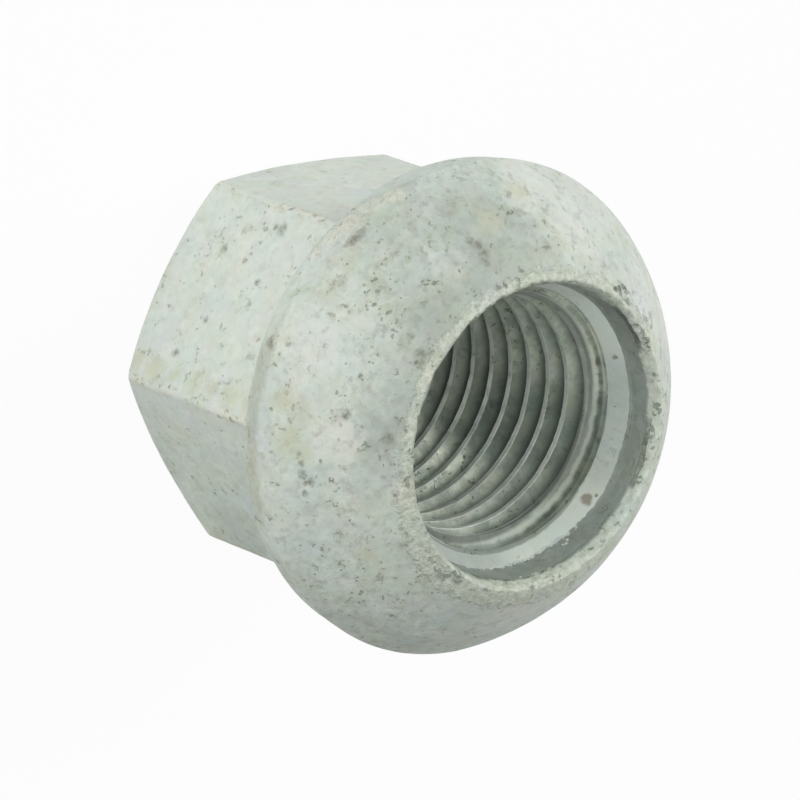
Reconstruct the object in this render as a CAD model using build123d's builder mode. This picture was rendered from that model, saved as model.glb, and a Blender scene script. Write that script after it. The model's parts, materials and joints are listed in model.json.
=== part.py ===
from build123d import *
from math import cos, radians, sqrt, tan
import os

# Open-ended wheel nut with a ball seat: M14 x 1.5 thread, 19 mm across flats.
# It is hot forged in one piece, as a hexagon with a round flange whose front is part of a
# sphere and a shallow recess in its mouth. It is then drilled, countersunk and tapped through.
# The nut stands on the plain end of its hexagon, at z = 0, with the ball seat uppermost and
# the thread's axis on Z. All sizes are in millimetres.

# Thread and bore
thread_diameter = 14.0
thread_pitch = 1.5
entry_oversize = 0.4  # how much wider than the thread the entry chamfer opens

# Hexagon
across_flats = 19.0
hex_corner_radius = 0.6
end_face_width = 0.65  # flat ring left between the entry chamfer and the end chamfer
end_chamfer_angle = 30.0  # from the end face

# Flange and ball seat
overall_length = 21.5
ball_radius = 14.0
seat_depth = 5.9  # height of the spherical surface, down from the mouth
band_height = 1.9  # narrow band round the flange, below the spherical surface
band_taper = 9.0
band_edge_radius = 0.5
back_angle = 22.0  # slope of the flange's back, from square to the axis
back_root_radius = 1.2  # hollow fillet turned between the hexagon and the flange's back
back_root_inset = 0.1  # how far inside the flats that fillet starts

# Mouth
recess_oversize = 0.88  # how much wider than the thread the recess floor is
recess_depth = 1.92
recess_draft = 3.0
land_width = 0.46  # flat lip between the recess and the spherical surface
lip_inner_radius = 0.3
lip_outer_radius = 0.4
countersink_half_angle = 30.0

# Radii and heights that follow from those sizes
minor_radius = (thread_diameter - 1.0825 * thread_pitch) / 2
entry_radius = (thread_diameter + entry_oversize) / 2
end_face_radius = entry_radius + end_face_width
corner_reach = across_flats / 2 / cos(radians(30))
recess_radius = (thread_diameter + recess_oversize) / 2
mouth_radius = recess_radius + recess_depth * tan(radians(recess_draft))
land_radius = mouth_radius + land_width
recess_floor = overall_length - recess_depth
thread_top = recess_floor - (recess_radius - minor_radius) / tan(radians(countersink_half_angle))
ball_centre = overall_length - sqrt(ball_radius**2 - land_radius**2)
seat_start = overall_length - seat_depth
seat_radius = sqrt(ball_radius**2 - (seat_start - ball_centre) ** 2)
band_start = seat_start - band_height
band_radius = seat_radius - band_height * tan(radians(band_taper))
neck_radius = across_flats / 2 - back_root_inset
back_foot = band_start - (band_radius - neck_radius) * tan(radians(back_angle))
past = 5.0  # how far the cutting profiles run past the metal

# Hexagon: a rounded hexagonal bar that runs up inside the flange. Its end is chamfered by
# turning, so the chamfer leaves a curved edge on each of the six flats.
with BuildPart() as hexagon:
    with BuildSketch():
        RegularPolygon(across_flats / 2, 6, major_radius=False)
    extrude(amount=seat_start)
    fillet(hexagon.edges().filter_by(Axis.Z), hex_corner_radius)

    chamfer_run = corner_reach + past - end_face_radius
    with BuildSketch(Plane.XZ):
        with BuildLine():
            Polyline(
                (end_face_radius, 0),
                (end_face_radius + chamfer_run, chamfer_run * tan(radians(end_chamfer_angle))),
                (end_face_radius + chamfer_run, -past),
                (end_face_radius, -past),
                close=True,
            )
        make_face()
    revolve(axis=Axis.Z, mode=Mode.SUBTRACT)

with BuildPart() as lug_nut:
    # Flange, turned about the axis: a neck inside the flats, a hollow fillet, the sloping back,
    # the band, the spherical seat and the flat mouth.
    with BuildSketch(Plane.XZ) as flange_profile:
        with BuildLine():
            Polyline(
                (0, overall_length),
                (0, back_foot - past),
                (neck_radius, back_foot - past),
                (neck_radius, back_foot),
                (band_radius, band_start),
                (seat_radius, seat_start),
            )
            RadiusArc((seat_radius, seat_start), (land_radius, overall_length), -ball_radius)
            Line((land_radius, overall_length), (0, overall_length))
        make_face()
        corners = flange_profile.vertices()
        fillet(corners.sort_by_distance((neck_radius, back_foot))[0], back_root_radius)
        corners = flange_profile.vertices()
        fillet(corners.sort_by_distance((band_radius, band_start))[0], band_edge_radius)
    revolve(axis=Axis.Z)
    add(hexagon.part)

    # Bore, in one turned cut from the mouth down: the recess with its draft, the countersink,
    # the bore at the thread's minor diameter, and the entry chamfer in the hexagon's end.
    with BuildSketch(Plane.XZ):
        with BuildLine():
            Polyline(
                (0, overall_length + past),
                (mouth_radius, overall_length + past),
                (mouth_radius, overall_length),
                (recess_radius, recess_floor),
                (minor_radius, thread_top),
                (minor_radius, entry_radius - minor_radius),
                (entry_radius, 0),
                (entry_radius, -past),
                (0, -past),
                close=True,
            )
        make_face()
    revolve(axis=Axis.Z, mode=Mode.SUBTRACT)

    # Both edges of the mouth's flat lip are rounded over.
    lip = lug_nut.faces().filter_by(GeomType.PLANE).sort_by(Axis.Z)[-1]
    lip_edges = lip.edges().sort_by(SortBy.LENGTH)
    fillet(lip_edges[0], lip_inner_radius)
    lip = lug_nut.faces().filter_by(GeomType.PLANE).sort_by(Axis.Z)[-1]
    fillet(lip.edges().sort_by(SortBy.LENGTH)[-1], lip_outer_radius)

lug_nut.part.label = "lug_nut"
os.makedirs("parts", exist_ok=True)
export_step(lug_nut.part, "parts/lug_nut.step")
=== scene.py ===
import json
from math import asin, atan2, cos, degrees, exp, hypot, pi, radians, sin, sqrt, tan

import bmesh
import bpy
from mathutils import Matrix, Quaternion, Vector, noise

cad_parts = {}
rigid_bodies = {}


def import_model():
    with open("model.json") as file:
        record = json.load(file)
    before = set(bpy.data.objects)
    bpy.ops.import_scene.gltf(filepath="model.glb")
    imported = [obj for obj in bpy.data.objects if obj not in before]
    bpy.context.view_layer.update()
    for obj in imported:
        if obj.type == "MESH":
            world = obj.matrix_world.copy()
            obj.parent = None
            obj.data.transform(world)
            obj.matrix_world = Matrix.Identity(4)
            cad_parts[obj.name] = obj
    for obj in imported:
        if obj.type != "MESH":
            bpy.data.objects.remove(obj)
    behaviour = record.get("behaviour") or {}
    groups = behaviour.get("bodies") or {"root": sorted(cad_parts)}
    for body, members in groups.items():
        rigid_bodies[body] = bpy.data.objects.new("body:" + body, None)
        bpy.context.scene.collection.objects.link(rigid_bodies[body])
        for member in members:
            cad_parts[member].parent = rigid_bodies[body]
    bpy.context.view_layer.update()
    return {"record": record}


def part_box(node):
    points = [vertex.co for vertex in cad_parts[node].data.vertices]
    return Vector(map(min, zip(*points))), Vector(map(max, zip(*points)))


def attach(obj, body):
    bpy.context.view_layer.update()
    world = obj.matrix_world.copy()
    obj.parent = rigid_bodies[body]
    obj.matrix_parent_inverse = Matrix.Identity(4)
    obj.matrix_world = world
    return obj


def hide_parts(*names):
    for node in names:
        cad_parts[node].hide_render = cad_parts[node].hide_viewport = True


for old in list(bpy.data.objects):
    bpy.data.objects.remove(old)
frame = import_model()


# ---------------------------------------------------------------- forged blank
# The nut is one piece of steel: a hexagon with a round flange whose front is part of a ball.
# It is hot forged, so its edges are soft and its skin is a little uneven, and the recess in its
# mouth is pressed in by the same punch. Sizes are in millimetres until the mesh is made.

mm = 0.001
nut_low, nut_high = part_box("lug_nut")
thread_hole = next(m for m in frame["record"]["mounts"] if m["name"] == "thread")

overall_length = (nut_high.z - nut_low.z) / mm
seat_radius = (nut_high.x - nut_low.x) / 2 / mm
crest_radius = thread_hole["dims"]["r_mm"]
across_flats = 19.0
hex_corner_radius = 0.6
entry_radius = 7.2
end_face_radius = 7.85
end_chamfer_slope = tan(radians(30))
flange_back_slope = tan(radians(22))
band_height = 1.9
band_taper = tan(radians(9))
ball_radius = 14.0
ball_height = 5.9
land_radius = 8.0
mouth_radius = 7.54
recess_radius = 7.44
recess_depth = 1.92
countersink_slope = tan(radians(30))

seat_start = overall_length - ball_height
band_start = seat_start - band_height
band_radius = seat_radius - band_height * band_taper
recess_floor = overall_length - recess_depth
ball_centre = overall_length - sqrt(ball_radius**2 - land_radius**2)


def hexagon_reach(angle):
    """Distance from the axis to the rounded hexagon, which has a corner on +X."""
    off_corner = (angle + radians(30)) % radians(60) - radians(30)
    corner_centre = (across_flats / 2 - hex_corner_radius) / cos(radians(30))
    turn = atan2(hex_corner_radius / 2, corner_centre + hex_corner_radius * cos(radians(30)))
    if abs(off_corner) < turn:
        bulge = sqrt(hex_corner_radius**2 - (corner_centre * sin(off_corner)) ** 2)
        return corner_centre * cos(off_corner) + bulge
    return across_flats / 2 / cos(radians(30) - abs(off_corner))


def rounded(before, corner, after, radius, steps):
    """Points of the arc that rounds one corner of a profile and uses less than half of either side."""
    into, out = (corner - before).normalized(), (after - corner).normalized()
    half = into.angle(out) / 2
    shorter_side = min((corner - before).length, (after - corner).length)
    back = min(radius * tan(half), shorter_side * 0.48)
    radius = back / tan(half)
    side = 1 if into.cross(out) > 0 else -1
    centre = corner - into * back + Vector((-into.y, into.x)) * side * radius
    spoke = corner - into * back - centre
    return [
        centre + Matrix.Rotation(side * 2 * half * i / steps, 2) @ spoke
        for i in range(steps + 1)
    ]


def run(start, end, steps):
    """Points inside a straight stretch of a profile, without its two ends."""
    return [start.lerp(end, i / steps) for i in range(1, steps)]


def recess_skew(angle):
    """How far the recess floor's edge is off its circle: the countersink was cut a little to one side."""
    deep_side, spread = 42, 30
    off_side = (degrees(angle) - deep_side + 180) % 360 - 180
    lean = exp(-((off_side / spread) ** 2))
    rough = 0.015 + 0.05 * lean
    skew = 0.06 - 0.19 * lean
    for waves in (3, 14, 40):
        skew += rough * noise.noise(Vector((waves * cos(angle), waves * sin(angle), 9)))
    return skew


def recess_foot(skew):
    """The point on the countersink that is so far off the circle of the recess's floor."""
    return Vector((recess_radius + skew, recess_floor + skew / countersink_slope))


def bore_top(angle):
    """The point on the countersink, just inside the recess, where the bore's part of the mesh takes over."""
    return recess_foot(recess_skew(angle) - 0.08)


ball_steps = 26


def outer_profile(angle):
    """The nut's section at one angle, from the entry chamfer's edge round the outside to the countersink."""
    reach = hexagon_reach(angle)
    chamfer_top = (reach - end_face_radius) * end_chamfer_slope
    flange_foot = band_start - (band_radius - reach) * flange_back_slope
    # each corner comes with the radius that softens it and the steps in its arc
    corners = [
        (Vector((entry_radius, 0)), 0.12, 2),
        (Vector((end_face_radius, 0)), 0.5, 3),
        (Vector((reach, chamfer_top)), 0.35, 6),
        (Vector((reach, flange_foot)), 1.1, 8),
        (Vector((band_radius, band_start)), 0.6, 7),
        (Vector((seat_radius, seat_start)), 1.2, 7),
    ]
    low, high = (asin((z - ball_centre) / ball_radius) for z in (seat_start, overall_length))
    ball = [
        Vector((cos(a), sin(a))) * ball_radius + Vector((0, ball_centre))
        for a in (low + (high - low) * (i + 0.5) / ball_steps for i in range(ball_steps))
    ]
    mouth = [
        (Vector((land_radius, overall_length)), 0.5, 4),
        (Vector((land_radius - 0.17, overall_length - 0.03)), 0.3, 2),
        (Vector((mouth_radius + 0.12, overall_length - 0.27)), 0.4, 3),
        (Vector((mouth_radius, overall_length - 0.75)), 0.8, 3),
        (recess_foot(recess_skew(angle)), 0.04, 2),
    ]
    start, end = Vector((crest_radius, entry_radius - crest_radius)), bore_top(angle)
    path = [c[0] for c in corners] + ball + [c[0] for c in mouth] + [end]
    stretches = [2, 4, 17, 5, 5] + [1] * (ball_steps + 1) + [1, 1, 1, 6, 1]
    softened = {tuple(c[0]): c for c in corners + mouth}
    points = []
    for i, corner in enumerate(path[:-1]):
        before = path[i - 1] if i else start
        arc = [corner]
        if tuple(corner) in softened:
            _, radius, steps = softened[tuple(corner)]
            arc = rounded(before, corner, path[i + 1], radius, steps)
        if i:
            points += run(points[-1], arc[0], stretches[i - 1])
        points += arc
    return points + run(points[-1], end, stretches[-1])


# Columns of the mesh crowd together on the hexagon's rounded corners.
corner_half, flat_turn = 1.8, 56.4  # degrees round the nut
columns = []
for corner in range(6):
    columns += [radians(60 * corner + corner_half * (i - 5) / 5) for i in range(10)]
    columns += [radians(60 * corner + corner_half + flat_turn * i / 40) for i in range(40)]

# The bore's rows follow the thread's helix, and the ones past either end fold onto its last circle.
# A row's place is in turns of the thread, counted from the first crest, whose height is taken on +X.
pitch = 1.5
crest_height = 0.572
half_crest = 0.09
row_phases = [
    -half_crest, 0, half_crest, 0.16, 0.225, 0.29, 0.35,
    0.4057, 0.5, 0.5943, 0.65, 0.71, 0.775, 0.84,
]
bore_rows = [k + p for k in range(-3, 14) for p in row_phases]


def bore_point(angle, row):
    """A point of the bore before it is tapped: on its circle, in the entry chamfer or in the countersink."""
    z = crest_height + pitch * (row + angle / (2 * pi))
    z = min(max(z, 0.15), bore_top(angle).y)
    r = max(crest_radius, entry_radius - z, recess_radius - (recess_floor - z) * countersink_slope)
    return Vector((r, z))


nut = bmesh.new()
bore_mark = nut.verts.layers.float.new("bore")
grid = []
for angle in columns + [columns[0] + 2 * pi]:
    section = outer_profile(angle)
    bore = [bore_point(angle, row) for row in reversed(bore_rows)]
    column = []
    for i, point in enumerate(section + bore):
        x, y = point.x * cos(angle), point.x * sin(angle)
        vert = nut.verts.new((x * mm, y * mm, point.y * mm))
        vert[bore_mark] = float(i >= len(section))
        column.append(vert)
    grid.append(column)
for left, right in zip(grid, grid[1:]):
    for i in range(len(left)):
        j = (i + 1) % len(left)
        nut.faces.new((left[i], right[i], right[j], left[j]))
bmesh.ops.remove_doubles(nut, verts=nut.verts, dist=0.002 * mm)
bmesh.ops.recalc_face_normals(nut, faces=nut.faces)
nut.normal_update()

# The forged skin lies unevenly, up to a tenth of a millimetre under its true size, and the lip is
# nicked where the punch left it.
for vert in nut.verts:
    if vert[bore_mark] > 0.5:
        continue
    spot = vert.co / mm
    r = hypot(spot.x, spot.y)
    sink = 0.035 * (1 + noise.noise(spot * 0.32)) + 0.012 * (1 + noise.noise(spot * 1.1))
    if spot.z > 20.6 and 7.3 < r < 9.2:
        near_lip = 1 - min(abs(r - 7.9) / 1.2, 1)
        broad_nicks = 0.11 * max(noise.noise(spot * 1.5) + 0.15, 0)
        small_nicks = 0.08 * max(noise.noise(spot * 2.9) + 0.2, 0)
        sink += near_lip * (broad_nicks + small_nicks)
    on_end_face = spot.z <= 0.02
    beside_bore = spot.z < 19.7 and r < 7.7
    if not (on_end_face or beside_bore):
        vert.co -= vert.normal * sink * mm
blank = bpy.data.meshes.new("lug_nut_forging")
nut.to_mesh(blank)
nut.free()
forging = bpy.data.objects.new("lug_nut_forging", blank)
bpy.context.collection.objects.link(forging)


# ---------------------------------------------------------------- zinc flake coating
# The whole nut is dipped in a zinc flake coating and baked. It is thin, matt and a pale grey with
# a green cast, blotched with faint olive and blue-grey stains and full of small dark flecks where
# it is bare. Knocking about with other nuts has rubbed the lip and the edges to a warmer cream, and
# painted highlights add to that cream; painted light and shade also lie in the bore and the recess.


def is_linked(value):
    """Whether a value comes from another node, and isn't a plain number or colour."""
    return isinstance(value, bpy.types.NodeSocket)


def wire(tree, kind, inputs=None, **settings):
    """Adds a node to a tree, sets its properties, and sets or links its inputs by name or number."""
    node = tree.nodes.new(kind)
    for name, value in settings.items():
        setattr(node, name, value)
    for name, value in (inputs or {}).items():
        if is_linked(value):
            tree.links.new(value, node.inputs[name])
        else:
            node.inputs[name].default_value = value
    return node


def wire_on(kind, inputs, **settings):
    """Adds a node to the tree that its linked inputs come from."""
    tree = next(value.id_data for value in inputs.values() if is_linked(value))
    return wire(tree, kind, inputs, **settings)


def reckon(operation, *values):
    """The output of a Math node."""
    return wire_on("ShaderNodeMath", dict(enumerate(values)), operation=operation).outputs[0]


def reckon_all(operation, values):
    """Any number of values, taken in turn through the same Math operation."""
    total = values[0]
    for value in values[1:]:
        total = reckon(operation, total, value)
    return total


def plus(*values):
    """Values added together."""
    return reckon_all("ADD", values)


def times(*values):
    """Values, or masks, multiplied together."""
    return reckon_all("MULTIPLY", values)


def most(*values):
    """The largest of several values."""
    return reckon_all("MAXIMUM", values)


def less(value, taken):
    """One value with another taken from it."""
    return reckon("SUBTRACT", value, taken)


def gap(value, middle):
    """How far a value is from its middle, either way."""
    return reckon("ABSOLUTE", less(value, middle))


def swing(cloudy, amount):
    """A noise that goes either side of nothing, by up to about half the amount."""
    return times(less(cloudy, 0.5), amount)


def ramp(value, low, high, to_low=0.0, to_high=1.0):
    """The output of a smooth Map Range node, held between its two ends."""
    ends = {0: value, 1: low, 2: high, 3: to_low, 4: to_high}
    return wire_on("ShaderNodeMapRange", ends, interpolation_type="SMOOTHSTEP").outputs[0]


def tint(amount, under, over, blend="MIX"):
    """One colour laid over another by a mask."""
    inputs = {0: amount}
    for number, colour in ((6, under), (7, over)):
        inputs[number] = colour if is_linked(colour) else (*colour, 1)
    return wire_on("ShaderNodeMix", inputs, data_type="RGBA", blend_type=blend).outputs[2]


def place_math(operation, inputs, output=0):
    """An output of a Vector Math node."""
    return wire_on("ShaderNodeVectorMath", inputs, operation=operation).outputs[output]


def from_axis(x, y):
    """The distance from the thread's axis."""
    return reckon("SQRT", plus(times(x, x), times(y, y)))


def cloud(place, scale, detail=2.0, roughness=0.5, seed=0.0, output=0):
    """A Noise texture's value, or its colour as output 1, moved to its own part of the noise by its seed."""
    moved = place_math("ADD", {0: place, 1: (seed * 7.3, seed * -4.1, seed * 5.7)})
    inputs = {"Vector": moved, "Scale": scale, "Detail": detail, "Roughness": roughness}
    return wire_on("ShaderNodeTexNoise", inputs).outputs[output]


def nudged(place, scale, detail, amount, seed):
    """A place pushed about by noise, by up to about half the amount each way."""
    push = cloud(place, scale, detail, 0.6, seed, output=1)
    push = place_math("SUBTRACT", {0: push, 1: (0.5, 0.5, 0.5)})
    return place_math("MULTIPLY_ADD", {0: push, 1: (amount, amount, amount), 2: place})


def group(name, inputs, outputs):
    """An empty shader node group with float or vector inputs, and its two end nodes' sockets."""
    tree = bpy.data.node_groups.new(name, "ShaderNodeTree")
    for socket, value in inputs.items():
        kind = "NodeSocketVector" if isinstance(value, tuple) else "NodeSocketFloat"
        tree.interface.new_socket(socket, in_out="INPUT", socket_type=kind).default_value = value
    for socket, kind in outputs.items():
        tree.interface.new_socket(socket, in_out="OUTPUT", socket_type=kind)
    return tree, tree.nodes.new("NodeGroupInput").outputs, tree.nodes.new("NodeGroupOutput").inputs


# Flecks: scattered bare crumbs, dashes and broken curls of uneven darkness, thick in some places and
# thin in others, each with a soft olive halo.
flecks, given, made = group(
    "bare_flecks",
    {"Place": (0.0, 0.0, 0.0), "Scale": 1.0, "Plenty": 1.0, "Seed": 0.0},
    {"Mask": "NodeSocketFloat", "Halo": "NodeSocketFloat"},
)
spot = place_math("SCALE", {0: given["Place"], 3: given["Scale"]})
spot = place_math("ADD", {0: spot, 1: given["Seed"]})
more = plus(swing(cloud(spot, 0.4, seed=1.0), 0.26), times(less(given["Plenty"], 1.0), 0.05))
where_broken = plus(cloud(spot, 1.5, seed=2.0), more)
curl = ramp(gap(cloud(spot, 1.7, 3, 0.55, 3.0), 0.5), 0.06, 0.02)
dashes = ramp(cloud(spot, 3.6, 1, 0.5, 9.0), 0.48, 0.56)
curl = times(curl, ramp(where_broken, 0.6, 0.66), dashes)
crumb = ramp(plus(cloud(spot, 3.0, seed=4.0), more), 0.69, 0.76)
dark = ramp(cloud(spot, 1.1, 1, 0.5, 6.0), 0.35, 0.65, 0.3, 1.0)
flecks.links.new(times(most(curl, crumb), dark), made["Mask"])
flecks.links.new(ramp(where_broken, 0.56, 0.7), made["Halo"])

# A blemish: one patch round a centre, whose edge is as ragged as the place it is given.
blemish, given, made = group(
    "blemish",
    {"Place": (0.0, 0.0, 0.0), "Centre": (0.0, 0.0, 0.0), "Radius": 0.5, "Softness": 0.3},
    {"Mask": "NodeSocketFloat"},
)
away = place_math("DISTANCE", {0: given["Place"], 1: given["Centre"]}, "Value")
inner = times(given["Radius"], less(1.0, given["Softness"]))
outer = times(given["Radius"], plus(1.0, given["Softness"]))
blemish.links.new(ramp(away, outer, inner), made["Mask"])

# Drift: the hue of the baked coating wanders a little, from cool to straw and from mint to mauve.
cool_cast, straw_cast = (0.985, 1.0, 1.015), (1.005, 1.0, 0.96)
mint_cast, mauve_cast = (0.98, 1.007, 0.99), (1.018, 0.994, 1.0)

drift, given, made = group("hue_drift", {"Place": (0.0, 0.0, 0.0)}, {"Color": "NodeSocketColor"})
straw = ramp(cloud(given["Place"], 0.5, 3, 0.55, 18.0), 0.3, 0.7)
mauve = ramp(cloud(given["Place"], 0.8, 4, 0.6, 21.0), 0.32, 0.68)
straw = tint(straw, cool_cast, straw_cast)
mauve = tint(mauve, mint_cast, mauve_cast)
drift.links.new(tint(1.0, straw, mauve, "MULTIPLY"), made["Color"])

# The coating itself: colour, roughness and height before any wear that belongs to one face.
grey_green = (0.63, 0.69, 0.625)
blue_grey = (0.585, 0.66, 0.65)
pale_grey = (0.725, 0.77, 0.71)
olive_grey = (0.56, 0.57, 0.45)
smoke_grey = (0.38, 0.4, 0.37)
halo_olive = (0.48, 0.51, 0.37)
fleck_dark = (0.17, 0.195, 0.15)

zinc, given, made = group(
    "zinc_flake",
    {"Place": (0.0, 0.0, 0.0), "Stains": 1.0, "Flecks": 1.0},
    {
        "Color": "NodeSocketColor",
        "Roughness": "NodeSocketFloat",
        "Height": "NodeSocketFloat",
        "Bare": "NodeSocketFloat",
    },
)
spot = given["Place"]
blue = ramp(cloud(spot, 0.3, seed=1.0), 0.42, 0.66)
olive = ramp(cloud(spot, 0.6, 3, 0.6, 5.0), 0.5, 0.72)
smoke = ramp(cloud(spot, 1.15, 4, 0.6, 8.0), 0.5, 0.74)
pale = ramp(cloud(spot, 0.8, 3, 0.55, 12.0), 0.45, 0.7)
grain = cloud(spot, 2.3, 3, 0.55, 15.0)
skin = tint(times(blue, 0.5), grey_green, blue_grey)
skin = tint(times(pale, 0.6), skin, pale_grey)
skin = tint(times(olive, 0.42, given["Stains"]), skin, olive_grey)
skin = tint(times(smoke, 0.36, given["Stains"]), skin, smoke_grey)
shade = ramp(grain, 0.25, 0.75, 0.93, 1.055)
shade = wire_on("ShaderNodeCombineColor", {0: shade, 1: shade, 2: shade}).outputs[0]
skin = tint(1.0, skin, shade, "MULTIPLY")
bare, halo = 0.0, 0.0
for scale, seed in ((0.75, 0.0), (1.2, 31.0)):
    inputs = {"Place": spot, "Scale": scale, "Plenty": given["Flecks"], "Seed": seed}
    layer = wire_on("ShaderNodeGroup", inputs, node_tree=flecks)
    bare = most(bare, layer.outputs["Mask"])
    halo = most(halo, layer.outputs["Halo"])
skin = tint(times(halo, 0.34), skin, halo_olive)
skin = tint(times(bare, 0.7), skin, fleck_dark)
relief = less(less(grain, times(smoke, 0.2)), times(bare, 0.7))
zinc.links.new(skin, made["Color"])
zinc.links.new(ramp(grain, 0.3, 0.7, 0.58, 0.7), made["Roughness"])
zinc.links.new(relief, made["Height"])
zinc.links.new(bare, made["Bare"])


def coated(name, stains, specks=1.0):
    """A material with the coating in it: the material, the place on the nut in millimetres, its distance
    from the axis, its height and its angle, and the coating's node."""
    skin = bpy.data.materials.new(name)
    skin.use_nodes = True
    place = wire(skin.node_tree, "ShaderNodeTexCoord").outputs["Object"]
    place = place_math("SCALE", {0: place, 3: 1 / mm})
    x, y, z = wire_on("ShaderNodeSeparateXYZ", {0: place}).outputs
    inputs = {"Place": place, "Stains": stains, "Flecks": specks}
    coating = wire_on("ShaderNodeGroup", inputs, node_tree=zinc)
    return skin, place, from_axis(x, y), z, reckon("ARCTAN2", y, x), coating


def patches(place, spots, softness):
    """One mask for several blemishes, each given as its angle round the nut, radius, height and size."""
    mask = 0.0
    for turn, r, height, size in spots:
        centre = (r * cos(radians(turn)), r * sin(radians(turn)), height)
        inputs = {"Place": place, "Centre": centre, "Radius": size, "Softness": softness}
        mask = most(mask, wire_on("ShaderNodeGroup", inputs, node_tree=blemish).outputs["Mask"])
    return mask


def near(value, middle, flat, fade):
    """A mask that is 1 within a distance of a value and fades out beyond it."""
    return ramp(gap(value, middle), flat + fade, flat)


def facing(turn, middle, faint, full):
    """A mask by the angle round the nut, which is full within one angle of its middle and gone at another.
    It reads a cosine, so that it meets itself behind the nut."""
    return ramp(reckon("COSINE", less(turn, radians(middle))), cos(radians(faint)), cos(radians(full)))


def finish_skin(place, colour, rough, height, distance):
    """Feeds a colour, roughness and height into the material's shader, and returns that shader."""
    tree = place.id_data
    shader = tree.nodes["Principled BSDF"]
    hue = wire_on("ShaderNodeGroup", {"Place": place}, node_tree=drift).outputs["Color"]
    inputs = {"Height": height, "Strength": 1.0, "Distance": distance}
    bump = wire_on("ShaderNodeBump", inputs).outputs[0]
    tree.links.new(tint(1.0, colour, hue, "MULTIPLY"), shader.inputs["Base Color"])
    tree.links.new(rough, shader.inputs["Roughness"])
    tree.links.new(bump, shader.inputs["Normal"])
    shader.inputs["IOR"].default_value = 1.45
    return shader


# The outside, with the wear that belongs to the hexagon, the flange, the ball and the recess, and the shade
# and highlights painted onto them.
forged_skin, where, out, up, turn, coating = coated("forged_zinc_coating", 1.0)
coat = coating.outputs
worn = cloud(where, 1.1, 4, 0.65, 40.0)
fine = cloud(where, 3.4, 4, 0.66, 42.0)
coarse = cloud(where, 1.8, 4, 0.6, 44.0)
frayed = nudged(where, 2.6, 3, 0.34, 50.0)
ragged = nudged(where, 1.5, 4, 0.9, 51.0)
drifting = nudged(where, 0.5, 3, 3.0, 52.0)

# the flange has lost more of its coating than the hexagon has, and one flat more than the others
flange_flecks = ramp(up, 12.5, 15.8, 0.2, 0.7)
flat_flecks = ramp(gap(turn, radians(-90)), 0.6, 0.5, 0.2, 0.8)
forged_skin.node_tree.links.new(most(flange_flecks, flat_flecks), coating.inputs["Flecks"])

# the flats on one side are paler
pale_flat = (0.82, 0.85, 0.8)
on_hexagon = ramp(up, 13.4, 12.6)
colour = tint(times(on_hexagon, facing(turn, 240, 88, 60), 0.3), coat["Color"], pale_flat)

# grime and painted shade lie together in broad clouds on the ball beside the mouth and on one flat, and
# painted shade alone lies at the flange's edge
grime_and_shade_grey = (0.6, 0.615, 0.6)
heavy_grime_and_shade = [
    (220, 10.6, 19.0, 3.2), (250, 9.9, 19.9, 2.4), (238, 12.0, 17.2, 2.8), (292, 9.3, 20.5, 1.2),
    (356, 10.2, 5.5, 2.4),
]
edge_shade = [(336, 12.7, 15.2, 1.8), (352, 12.5, 16.2, 2.0), (8, 12.4, 16.2, 2.0)]
light_grime_and_shade = [(221, 10.4, 19.2, 2.3), (138, 9.2, 20.4, 1.0)]
grime_and_shade = plus(
    patches(drifting, heavy_grime_and_shade, 0.6),
    times(patches(drifting, edge_shade, 0.6), 0.85),
    times(patches(drifting, light_grime_and_shade, 0.5), 0.5),
)
colour = tint(times(grime_and_shade, 0.45), colour, grime_and_shade_grey, "MULTIPLY")

# it is darkest in a collar round one side of the mouth
collar_grey = (0.35, 0.39, 0.345)
collar = times(facing(turn, 258, 64, 26), ramp(plus(up, swing(coarse, 3.0)), 18.8, 20.9))
colour = tint(times(collar, 0.5), colour, collar_grey)

# between the clouds of grime and painted shade the ball is paler in places
ball_pale = (0.81, 0.82, 0.77)
ball_pale_places = [
    (274, 12.2, 17.0, 1.7), (186, 10.6, 19.0, 2.2), (150, 10.0, 19.6, 3.2), (174, 12.3, 16.6, 2.2),
    (194, 11.8, 17.4, 2.4), (32, 9.6, 20.1, 2.2), (296, 10.8, 18.8, 1.2),
]
colour = tint(times(patches(drifting, ball_pale_places, 0.5), 0.45), colour, ball_pale)

# small soft smudges, brown-grey, lie all over the ball, and darker in the grime and painted shade
smudge_grey = (0.36, 0.365, 0.33)
smudge = times(ramp(up, 15.2, 16.0), ramp(coarse, 0.5, 0.68), ramp(worn, 0.35, 0.6, 0.14, 0.46))
colour = tint(times(smudge, ramp(grime_and_shade, 0.0, 0.6, 1.0, 1.5)), colour, smudge_grey)

# olive stains on the ball and beside one corner of the hexagon; on the band round the flange, over one side,
# the dark olive is partly stain and partly painted shade, and the flange's root is darker olive all round
ball_olive, corner_olive = (0.57, 0.585, 0.4), (0.53, 0.56, 0.38)
band_olive_shade, root_olive = (0.4, 0.41, 0.33), (0.49, 0.49, 0.38)
ball_stains = [
    (297, 12.2, 16.9, 0.7), (300, 11.7, 17.6, 0.5), (288, 12.5, 16.3, 0.6), (262, 12.5, 16.6, 0.5),
    (218, 10.8, 18.9, 0.7), (204, 11.6, 17.8, 0.5), (330, 10.4, 19.4, 0.4),
]
corner_stains = [
    (296, 10.3, 2.0, 0.5), (296, 10.3, 3.6, 0.6), (296, 10.3, 5.2, 0.4), (296, 10.3, 6.9, 0.55),
    (296, 10.3, 8.3, 0.5), (296, 10.3, 9.8, 0.6), (296, 10.3, 11.2, 0.5),
]
band_stains_and_shade = [(289, 12.6, 14.5, 3.0), (308, 12.6, 14.5, 3.0)]
colour = tint(times(patches(ragged, ball_stains, 0.7), 0.5), colour, ball_olive)
colour = tint(times(patches(ragged, corner_stains, 0.7), 0.5), colour, corner_olive)
on_band = times(near(plus(up, times(worn, 0.7)), 14.85, 0.25, 0.75), ramp(out, 11.9, 12.3))
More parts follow.
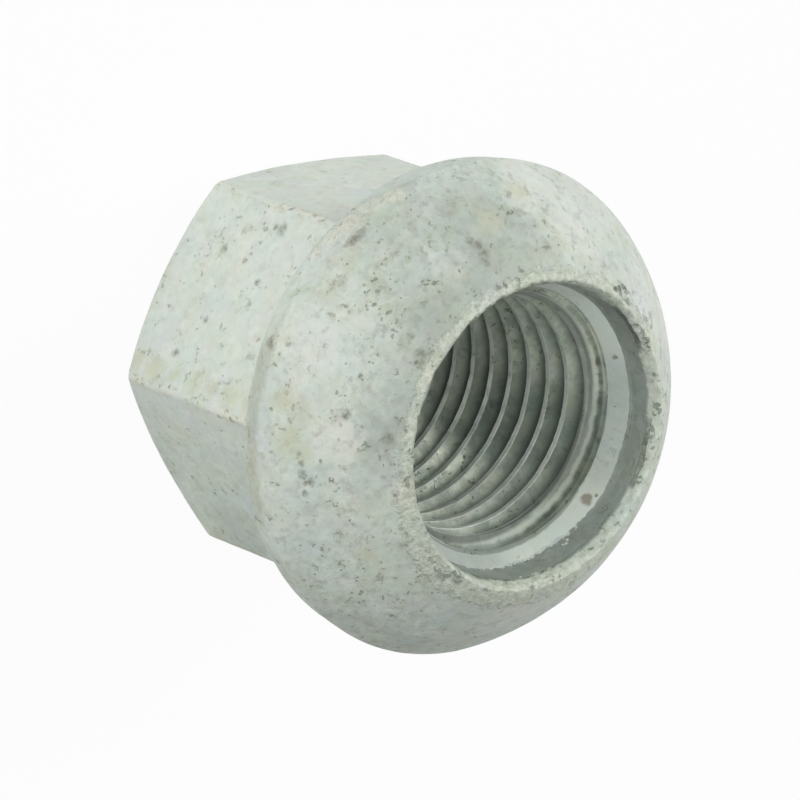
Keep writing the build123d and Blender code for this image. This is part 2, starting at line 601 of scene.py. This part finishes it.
band_shade_and_stain = times(on_band, patches(drifting, band_stains_and_shade, 0.4))
colour = tint(times(band_shade_and_stain, ramp(fine, 0.3, 0.62, 0.35, 0.65)), colour, band_olive_shade)
root = times(near(up, 13.1, 0.2, 0.8), ramp(out, 12.0, 11.2))
colour = tint(times(root, 0.3), colour, root_olive)

# the rim of the flange is cream along one stretch, partly rubbed coating and partly a painted highlight on
# its rounded edge, and is rough and crumbly there
rim_cream_highlight, rim_crumb = (0.8, 0.81, 0.71), (0.4, 0.38, 0.25)
rim_rubs_and_highlight = [
    (233, 12.7, 15.5, 0.6), (238, 12.75, 15.1, 0.75), (244, 12.7, 14.8, 0.8), (249, 12.7, 14.5, 0.6),
    (254, 12.7, 14.3, 0.4),
]
rim_rubbed_and_highlit = times(patches(frayed, rim_rubs_and_highlight, 0.4), ramp(out, 12.0, 12.3))
crumbs = times(rim_rubbed_and_highlit, ramp(fine, 0.54, 0.66))
colour = tint(times(rim_rubbed_and_highlit, 0.65), colour, rim_cream_highlight)
colour = tint(times(crumbs, 0.62), colour, rim_crumb)

# the corners of the hexagon are crisp: the thin cream line along each is a painted highlight, with dark
# chips and olive stains beside it
corner_side, corner_highlight_cream, corner_chip = (0.5, 0.51, 0.37), (0.81, 0.805, 0.73), (0.2, 0.2, 0.14)
sixth = reckon("DIVIDE", turn, pi / 3)
off_corner = times(gap(sixth, reckon("ROUND", sixth)), out, pi / 3)
frayed_off = plus(off_corner, swing(fine, 0.5))
beside = times(ramp(frayed_off, 0.5, 0.2), on_hexagon, ramp(worn, 0.42, 0.6))
corner_highlight_line = times(ramp(frayed_off, 0.16, 0.08), on_hexagon, ramp(worn, 0.4, 0.55))
chips = times(ramp(off_corner, 0.5, 0.25), on_hexagon, ramp(fine, 0.6, 0.66), ramp(worn, 0.44, 0.56))
colour = tint(times(beside, 0.35), colour, corner_side)
colour = tint(times(corner_highlight_line, 0.55), colour, corner_highlight_cream)
colour = tint(times(chips, 0.6), colour, corner_chip)

# the lip is rough and greenish cream, partly its own colour and partly a painted highlight along its rounded
# edge, widest on one side of the mouth and smoother over one stretch
lip_cream_highlight, lip_hollow = (0.78, 0.83, 0.73), (0.57, 0.61, 0.5)
wide = facing(turn, 40, 115, 50)
smooth = times(facing(turn, 96, 62, 34), 0.65)
past_mouth = ramp(out, 7.56, 7.62)
off_lip = plus(gap(out, ramp(wide, 0.0, 1.0, 8.08, 8.2)), swing(coarse, 1.2))
across_lip = ramp(less(off_lip, ramp(wide, 0.0, 1.0, 0.24, 0.68)), 0.24, -0.08)
lip = times(across_lip, past_mouth, ramp(plus(up, times(fine, 0.6)), 20.6, 20.9))
cream = tint(ramp(fine, 0.36, 0.62), lip_cream_highlight, lip_hollow)
colour = tint(times(lip, less(0.75, times(smooth, 0.5))), colour, cream)

# its inner edge is dark on the other side, and it is pitted, most of all in three places
edge_grey, pit_dark = (0.34, 0.37, 0.31), (0.175, 0.195, 0.155)
pitted_places = [(158, 8.2, 21.2, 2.0), (112, 8.2, 21.3, 1.7), (350, 8.5, 21.0, 1.0)]
inner_edge = times(near(out, 7.82, 0.1, 0.14), facing(turn, 285, 75, 30), ramp(up, 20.9, 21.1))
colour = tint(times(inner_edge, 0.4), colour, edge_grey)
pitted = patches(drifting, pitted_places, 0.5)
chance = plus(times(coarse, 0.6), times(fine, 0.4), times(pitted, 0.06))
pits = times(times(ramp(up, 20.3, 21.2), past_mouth), ramp(chance, 0.59, 0.63))
colour = tint(times(pits, ramp(worn, 0.4, 0.6, 0.35, 0.65)), colour, pit_dark)

# the wall of the recess is painted dark as shade, except near the lip and over one stretch, and the painted
# shade reaches higher under the lip in one place; its foot is as ragged as the countersink's edge, with a
# few pale spots that are painted glints
wall_shade_light, wall_shade_dark = (0.31, 0.35, 0.32), (0.25, 0.285, 0.255)
foot_pale, glint_pale = (0.6, 0.66, 0.635), (0.8, 0.85, 0.81)
foot_glints = [(58.8, 7.45, 19.68, 0.09), (57.5, 7.45, 19.74, 0.1), (56.3, 7.45, 19.68, 0.08)]
lip_shadow_reach = times(patches(where, [(158, 7.55, 21.1, 1.5)], 0.5), 0.25)
wall_top = less(plus(up, times(less(worn, 0.5), less(1.0, smooth), 1.6)), lip_shadow_reach)
ragged_foot = times(less(cloud(where, 4.5, 3, 0.6, 46.0), 0.5), facing(turn, 50, 60, 20), 0.9)
foot = plus(up, ragged_foot, times(facing(turn, 45, 60, 10), 0.1))
in_recess = times(ramp(out, 7.72, 7.68), ramp(up, 19.0, 19.1))
wall_shade = times(in_recess, ramp(wall_top, 20.9, 20.65), ramp(foot, 19.47, 19.53))
less_shaded = facing(turn, 215, 50, 25)
wall_shade_colour = tint(ramp(worn, 0.35, 0.65), wall_shade_light, wall_shade_dark)
colour = tint(times(in_recess, ramp(foot, 19.53, 19.47), 0.9), colour, foot_pale)
colour = tint(times(wall_shade, less(0.93, times(less_shaded, 0.5))), colour, wall_shade_colour)
colour = tint(times(patches(frayed, foot_glints, 0.3), 0.85), colour, glint_pale)

# bare steel shows through beside the lip in a few patches, and two strips along its inner edge are painted
# shadow under the lip, in the same dark
steel_and_shadow_dark = (0.14, 0.155, 0.13)
steel_places = [(172, 8.5, 21.0, 0.16), (170, 8.7, 20.85, 0.2), (174, 8.3, 21.1, 0.14)]
bare_steel_and_shadow = patches(frayed, steel_places, 0.3)
lip_shadow_strip = times(near(plus(up, swing(worn, 0.3)), 20.88, 0.13, 0.05), ramp(out, 7.95, 7.85))
for middle, reach, strength in ((157, 10, 1.0), (103, 12, 0.8)):
    shadow_strip = times(lip_shadow_strip, facing(turn, middle, reach + 3, reach), strength)
    bare_steel_and_shadow = most(bare_steel_and_shadow, shadow_strip)
colour = tint(times(bare_steel_and_shadow, ramp(fine, 0.32, 0.48, 0.55, 0.88)), colour, steel_and_shadow_dark)

# elsewhere it shows only faintly: in rows and single spots, mostly on the ball and on the flats
steel_faint = (0.22, 0.225, 0.18)
faint_places = [
    (250, 12.6, 15.95, 0.14), (248.8, 12.6, 16.0, 0.2), (247.4, 12.6, 16.08, 0.24),
    (246, 12.6, 16.1, 0.22), (244.5, 12.65, 16.1, 0.16), (243, 12.65, 16.05, 0.1),
    (227, 10.4, 19.3, 0.24), (226, 10.1, 19.6, 0.34), (226, 9.75, 20.0, 0.28), (227, 9.4, 20.3, 0.2),
    (307, 11.5, 17.9, 0.2), (288, 10.6, 19.1, 0.26), (293, 9.0, 20.7, 0.28), (264, 8.85, 20.9, 0.3),
    (267, 8.7, 20.95, 0.25), (261, 9.5, 20.3, 0.2),
    (300, 11.85, 17.4, 0.14), (302.5, 11.8, 17.5, 0.16), (305, 11.8, 17.5, 0.2),
    (307.5, 11.7, 17.65, 0.15), (310, 11.7, 17.6, 0.17), (277, 12.65, 14.6, 0.3),
    (246, 10.4, 8.1, 0.32), (246, 10.5, 7.6, 0.2), (256, 9.8, 4.6, 0.24), (290, 10.1, 4.6, 0.25),
    (355, 8.2, 21.3, 0.3), (262, 9.6, 8.1, 0.2), (278, 9.6, 5.6, 0.2),
]
faint_steel = patches(frayed, faint_places, 0.6)
colour = tint(times(faint_steel, ramp(fine, 0.4, 0.6, 0.4, 0.9)), colour, steel_faint)

# the lip and the rim's rubbed, highlighted stretch stand rough, and whatever is bare lies a little lower,
# along with the painted shadow strips beside the lip
height = plus(coat["Height"], times(most(lip, rim_rubbed_and_highlit), fine, less(1.0, smooth), 3.0))
height = less(height, times(plus(pits, chips, bare_steel_and_shadow), 0.8))
finish_skin(where, colour, coat["Roughness"], height, 0.06 * mm)

# The bore, with the wear that belongs to the thread and the countersink, and the light and shade painted
# into it.
bore_skin, where, out, up, turn, coating = coated("tapped_zinc_coating", 0.5, 0.9)
coat = coating.outputs
tree = bore_skin.node_tree
groove = wire(tree, "ShaderNodeAttribute", attribute_type="GEOMETRY", attribute_name="groove")
groove = groove.outputs["Fac"]
streak = cloud(where, 1.6, 4, 0.65, 60.0)
frayed = nudged(where, 2.6, 3, 0.34, 50.0)
flank = ramp(groove, 0.01, 0.05)
uncut = ramp(groove, 0.04, 0.01)
below_countersink = ramp(up, 17.0, 15.6)

# the flanks are painted dark as shade and the roots darker still, and both are painted paler, as light, down
# two sides and deep in the bore
shaded_flank, lit_flank = (0.275, 0.335, 0.29), (0.84, 0.91, 0.82)
shaded_root, lit_root = (0.11, 0.135, 0.12), (0.28, 0.32, 0.28)
darker_mottle, lighter_mottle = (0.68, 0.71, 0.69), (1.3, 1.25, 1.2)
flank_olive, bare_dark = (0.5, 0.5, 0.36), (0.1, 0.115, 0.095)
painted_light = times(facing(turn, 48, 42, 10), ramp(up, 17.5, 12.5, 0.35, 1.0))
burnished = times(painted_light, ramp(up, 15.5, 8.0, 0.0, 0.85), flank)
painted_light = most(painted_light, times(facing(turn, 156, 50, 14), 0.62))
painted_light = plus(painted_light, ramp(up, 10.5, 4.0, 0.0, 0.75))
mottle = tint(ramp(cloud(where, 0.9, 5, 0.66, 61.0), 0.32, 0.68), darker_mottle, lighter_mottle)
yellowed = ramp(cloud(where, 0.8, 3, 0.55, 62.0), 0.5, 0.7, 0.0, 0.35)
flank_colour = tint(1.0, tint(painted_light, shaded_flank, lit_flank), mottle, "MULTIPLY")
flank_colour = tint(yellowed, flank_colour, flank_olive)
colour = tint(times(flank, 0.95), coat["Color"], flank_colour)
colour = tint(ramp(groove, 0.15, 1.0, 0.0, 0.9), colour, tint(painted_light, shaded_root, lit_root))
colour = tint(times(coat["Bare"], 0.6), colour, bare_dark)

# the crests are pale, partly rubbed by the studs that were run through them and partly a painted highlight,
# less so on two sides
crest_highlight_pale = (0.9, 0.93, 0.89)
crest = times(uncut, ramp(out, 6.5, 6.3))
rubbed_and_highlit = times(
    crest,
    ramp(streak, 0.34, 0.6, 0.35, 1.0),
    below_countersink,
    less(1.0, times(painted_light, 0.5)),
    ramp(facing(turn, 95, 50, 15), 0.0, 1.0, 1.0, 0.8),
    ramp(facing(turn, 0, 42, 18), 0.0, 1.0, 1.0, 0.5),
)
colour = tint(rubbed_and_highlit, colour, crest_highlight_pale)

# on one side of the bore, two bright lines, one along each edge of the crest, are painted highlights
crest_line_highlight = (0.93, 0.98, 0.91)
helix = less(
    reckon("DIVIDE", less(up, crest_height), pitch),
    reckon("DIVIDE", turn, 2 * pi),
)
off_ridge = gap(reckon("FRACT", plus(helix, 0.5)), 0.5)
crest_line_highlights = times(
    near(off_ridge, 0.085, 0.015, 0.02),
    facing(turn, 58, 58, 28),
    below_countersink,
    ramp(streak, 0.3, 0.55, 0.3, 1.0),
)
colour = tint(times(crest_line_highlights, 0.8), colour, crest_line_highlight)

# the last crest that the countersink leaves is painted dark as shade, with a darker painted shadow in a
# wedge along one side of the bore
last_crest_shade, wedge_shadow = (0.3, 0.33, 0.3), (0.11, 0.125, 0.11)
shaded_last_crest = times(uncut, ramp(out, 6.75, 6.55), ramp(up, 17.0, 17.4))
shadow_wedge = times(near(up, 17.38, 0.07, 0.12), facing(turn, 70, 100, 70), ramp(out, 6.65, 6.55))
colour = tint(times(shaded_last_crest, ramp(streak, 0.3, 0.7, 0.55, 0.85)), colour, last_crest_shade)
colour = tint(times(shadow_wedge, 0.7), colour, wedge_shadow)

# where the countersink thins the last turn, its edge carries a painted highlight, the groove beyond it is
# painted dark as shadow, and a band beside the edge is dull grey
groove_shadow_dark, dull_grey, edge_highlight_pale = (0.07, 0.08, 0.065), (0.2, 0.23, 0.2), (0.66, 0.7, 0.64)
phase = reckon("FRACT", plus(helix, swing(streak, 0.09)))
thinned = times(ramp(up, 17.4, 17.6), ramp(out, 6.97, 6.87))
groove_shadow = times(thinned, near(phase, 0.41, 0.09, 0.06), facing(turn, 100, 80, 35))
dull = times(thinned, near(phase, 0.14, 0.055, 0.045), facing(turn, 118, 62, 32))
edge_highlight = times(thinned, near(phase, 0.22, 0.015, 0.045))
colour = tint(times(groove_shadow, ramp(streak, 0.35, 0.65, 0.55, 0.85)), colour, groove_shadow_dark)
colour = tint(times(dull, 0.6), colour, dull_grey)
colour = tint(times(edge_highlight, 0.6), colour, edge_highlight_pale)

# the countersink is clean and pale above a painted shadow along its lower edge, and palest on two sides by
# painted light, with a few brown spots
cone_edge_shadow, ring_grey, ring_shade = (0.17, 0.19, 0.17), (0.56, 0.61, 0.57), (0.5, 0.555, 0.52)
ring_lit_pale, ring_lit_white, spot_brown = (0.74, 0.8, 0.74), (0.9, 0.97, 0.92), (0.25, 0.225, 0.155)
brown_spots = [
    (78, 7.15, 19.05, 0.3), (81, 7.3, 19.35, 0.09), (60, 7.4, 19.5, 0.14), (140, 7.2, 19.1, 0.14),
    (118, 7.1, 18.9, 0.08),
]
on_cone = ramp(groove, 0.05, 0.01)
shaded_cone_edge = times(near(plus(out, swing(streak, 0.2)), 6.76, 0.06, 0.05), on_cone)
ring = times(ramp(out, 6.8, 6.9), on_cone)
ring_colour = tint(ramp(streak, 0.35, 0.7), ring_grey, ring_shade)
ring_colour = tint(facing(turn, 58, 36, 12), ring_colour, ring_lit_pale)
ring_colour = tint(facing(turn, 180, 54, 8), ring_colour, ring_lit_white)
colour = tint(times(shaded_cone_edge, 0.6), colour, cone_edge_shadow)
colour = tint(times(ring, 0.9), colour, ring_colour)
colour = tint(times(patches(frayed, brown_spots, 0.3), 0.8), colour, spot_brown)

# rubbed and burnished steel is smoother, and partly metallic
rough = less(coat["Roughness"], plus(times(rubbed_and_highlit, 0.15), times(burnished, 0.22)))
shader = finish_skin(where, colour, rough, coat["Height"], 0.04 * mm)
tree.links.new(most(times(rubbed_and_highlit, 0.4), burnished), shader.inputs["Metallic"])


# ---------------------------------------------------------------- tapped thread
# The M14 x 1.5 thread is tapped right through the bore before the nut is coated. Its flanks stand
# at 60 degrees to each other, and the countersink in the mouth cuts its first turns away.

thread_depth = 0.82
crest_wear = 0.05
flank_slope = tan(radians(60))  # depth gained for each step along the axis

tapping = bpy.data.node_groups.new("tap_thread", "GeometryNodeTree")
tapping.interface.new_socket("Geometry", in_out="INPUT", socket_type="NodeSocketGeometry")
for name, value in (
    ("Pitch", pitch),
    ("Crest Radius", crest_radius),
    ("Depth", thread_depth),
    ("Crest Height", crest_height),
    ("Crest Wear", crest_wear),
):
    socket = tapping.interface.new_socket(name, in_out="INPUT", socket_type="NodeSocketFloat")
    socket.default_value = value * mm
for name in ("Outside Finish", "Bore Finish"):
    tapping.interface.new_socket(name, in_out="INPUT", socket_type="NodeSocketMaterial")
tapping.interface.new_socket("Geometry", in_out="OUTPUT", socket_type="NodeSocketGeometry")
entry = tapping.nodes.new("NodeGroupInput").outputs
position = wire(tapping, "GeometryNodeInputPosition").outputs[0]
x, y, z = wire_on("ShaderNodeSeparateXYZ", {0: position}).outputs
radius = from_axis(x, y)

# the groove, by how far a point is from the middle of the nearest crest
turns = reckon("DIVIDE", reckon("ARCTAN2", y, x), 2 * pi)
climb = reckon("DIVIDE", less(z, entry["Crest Height"]), entry["Pitch"])
off_crest = gap(reckon("FRACT", plus(less(climb, turns), 0.5)), 0.5)
off_crest = times(most(less(off_crest, half_crest), 0.0), entry["Pitch"])
groove = reckon("MINIMUM", times(off_crest, flank_slope), entry["Depth"])
cut = most(radius, plus(groove, entry["Crest Radius"]))
depth_share = reckon("DIVIDE", less(cut, radius), entry["Depth"])

# the crests are nicked here and there
spot = place_math("SCALE", {0: position, 3: 1 / mm})
nick = most(less(cloud(spot, 1.4, 3, 0.6, 70.0), 0.5), 0.0)
cut = most(cut, plus(times(nick, 4.0, entry["Crest Wear"]), entry["Crest Radius"]))
grow = reckon("DIVIDE", cut, radius)
moved = wire_on("ShaderNodeCombineXYZ", {0: times(x, grow), 1: times(y, grow), 2: z}).outputs[0]

# only the bore is cut, and the groove's depth is stored on it for the coating to read
bore_part = wire(tapping, "GeometryNodeInputNamedAttribute", {"Name": "bore"}, data_type="FLOAT")
bore_part = bore_part.outputs["Attribute"]
in_bore = reckon("GREATER_THAN", bore_part, 0.5)
marked = wire_on(
    "GeometryNodeStoreNamedAttribute",
    {"Geometry": entry["Geometry"], "Name": "groove", "Value": times(depth_share, bore_part)},
    data_type="FLOAT",
    domain="POINT",
).outputs[0]
cut_part = wire_on(
    "GeometryNodeSetPosition",
    {"Geometry": marked, "Selection": in_bore, "Position": moved},
).outputs[0]
realized = wire_on("GeometryNodeRealizeInstances", {0: cut_part}).outputs[0]
outside = wire_on(
    "GeometryNodeSetMaterial",
    {"Geometry": realized, "Material": entry["Outside Finish"]},
).outputs[0]
inside = wire_on(
    "GeometryNodeSetMaterial",
    {"Geometry": outside, "Selection": in_bore, "Material": entry["Bore Finish"]},
).outputs[0]
tapping.links.new(inside, tapping.nodes.new("NodeGroupOutput").inputs[0])

tapper = forging.modifiers.new("tap_thread", "NODES")
tapper.node_group = tapping
sockets = {s.name: s.identifier for s in tapping.interface.items_tree if s.in_out == "INPUT"}
tapper[sockets["Outside Finish"]] = forged_skin
tapper[sockets["Bore Finish"]] = bore_skin
evaluated = forging.evaluated_get(bpy.context.evaluated_depsgraph_get())
body = bpy.data.meshes.new_from_object(evaluated)
bpy.data.objects.remove(forging)
body.name = "lug_nut_body"
lug_nut = bpy.data.objects.new("lug_nut_body", body)
bpy.context.collection.objects.link(lug_nut)
body.shade_smooth()
body.set_sharp_from_angle(angle=radians(38))

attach(lug_nut, "root")
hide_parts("lug_nut")


# ---------------------------------------------------------------- floor
# A plain pale sheet under the nut. It shows nearly white to the camera and keeps the nut's soft
# shadow, and from below it is clear.

reach = 0.6
clearance = 0.00002
backdrop_white = 0.95
sheet = bpy.data.meshes.new("floor")
corners = [(-reach, -reach, 0), (reach, -reach, 0), (reach, reach, 0), (-reach, reach, 0)]
sheet.from_pydata(corners, [], [(0, 1, 2, 3)])
floor = bpy.data.objects.new("floor", sheet)
floor.location.z = nut_low.z - clearance
bpy.context.collection.objects.link(floor)


def backdrop_rays(tree):
    """1 for a ray that shows the backdrop, to the camera or by way of gloss or glass."""
    rays = wire(tree, "ShaderNodeLightPath").outputs
    return most(rays["Is Camera Ray"], rays["Is Glossy Ray"], rays["Is Transmission Ray"])


paper = bpy.data.materials.new("floor_paper")
paper.use_nodes = True
tree = paper.node_tree
tree.nodes.clear()
matt = wire(tree, "ShaderNodeBsdfDiffuse", {"Color": (0.85, 0.85, 0.85, 1)}).outputs[0]
white = wire(tree, "ShaderNodeEmission", {"Color": (1, 1, 1, 1), "Strength": 1.0}).outputs[0]
clear = wire(tree, "ShaderNodeBsdfTransparent").outputs[0]
from_below = wire(tree, "ShaderNodeNewGeometry").outputs["Backfacing"]
seen = times(backdrop_rays(tree), backdrop_white)
shown = wire_on("ShaderNodeMixShader", {0: seen, 1: matt, 2: white}).outputs[0]
one_way = wire_on("ShaderNodeMixShader", {0: from_below, 1: shown, 2: clear}).outputs[0]
wire_on("ShaderNodeOutputMaterial", {0: one_way})
sheet.materials.append(paper)


# ---------------------------------------------------------------- light
# A pale studio: an even surround, which shows white but lights the nut at under a third of that,
# and three large soft lamps, in front of the nut, to one side of it and over its mouth.

surround_light = 0.3
lamp_away, lamp_width = 0.40, 0.24


def direction(turn, rise):
    """The direction at an angle round the nut and a rise above the floor, both in degrees."""
    turn, rise = radians(turn), radians(rise)
    return Vector((cos(turn) * cos(rise), sin(turn) * cos(rise), sin(rise)))


world = bpy.data.worlds.new("studio")
bpy.context.scene.world = world
world.use_nodes = True
tree = world.node_tree
surround = tree.nodes["Background"]
surround.inputs["Color"].default_value = (0.985, 1.0, 0.99, 1)
tree.links.new(most(backdrop_rays(tree), surround_light), surround.inputs["Strength"])

for name, turn, rise, strength in (
    ("front_softbox", 275, 12, 0.37),
    ("side_softbox", 150, 40, 0.50),
    ("mouth_softbox", 272, 48, 0.2),
):
    lamp = bpy.data.objects.new(name, bpy.data.lights.new(name, "AREA"))
    bpy.context.collection.objects.link(lamp)
    lamp.data.shape = "DISK"
    lamp.data.size = lamp_width
    lamp.data.energy = strength * pi**2 * lamp_away**2
    toward = direction(turn, rise)
    lamp.location = toward * lamp_away + Vector((0, 0, overall_length * mm / 2))
    lamp.rotation_mode = "QUATERNION"
    lamp.rotation_quaternion = toward.to_track_quat("Z", "Y")


# ---------------------------------------------------------------- camera
# It looks down into the mouth through a long lens, rolled so that the nut lies on its side in the
# view.

camera = bpy.data.objects.new("camera", bpy.data.cameras.new("camera"))
bpy.context.collection.objects.link(camera)
bpy.context.scene.camera = camera
camera.data.sensor_width = 36
camera.data.lens = 319.9
camera.data.clip_end = 10
azimuth, elevation, roll, distance = -84.82, 48.52, radians(110.83), 0.359
back = direction(azimuth, elevation)
aim = Vector((0.83 * mm, -0.52 * mm, nut_low.z + 11.48 * mm))
camera.location = aim + back * distance
camera.rotation_mode = "QUATERNION"
camera.rotation_quaternion = back.to_track_quat("Z", "Y") @ Quaternion((0, 0, 1), roll)

bpy.context.scene.view_settings.view_transform = "Standard"
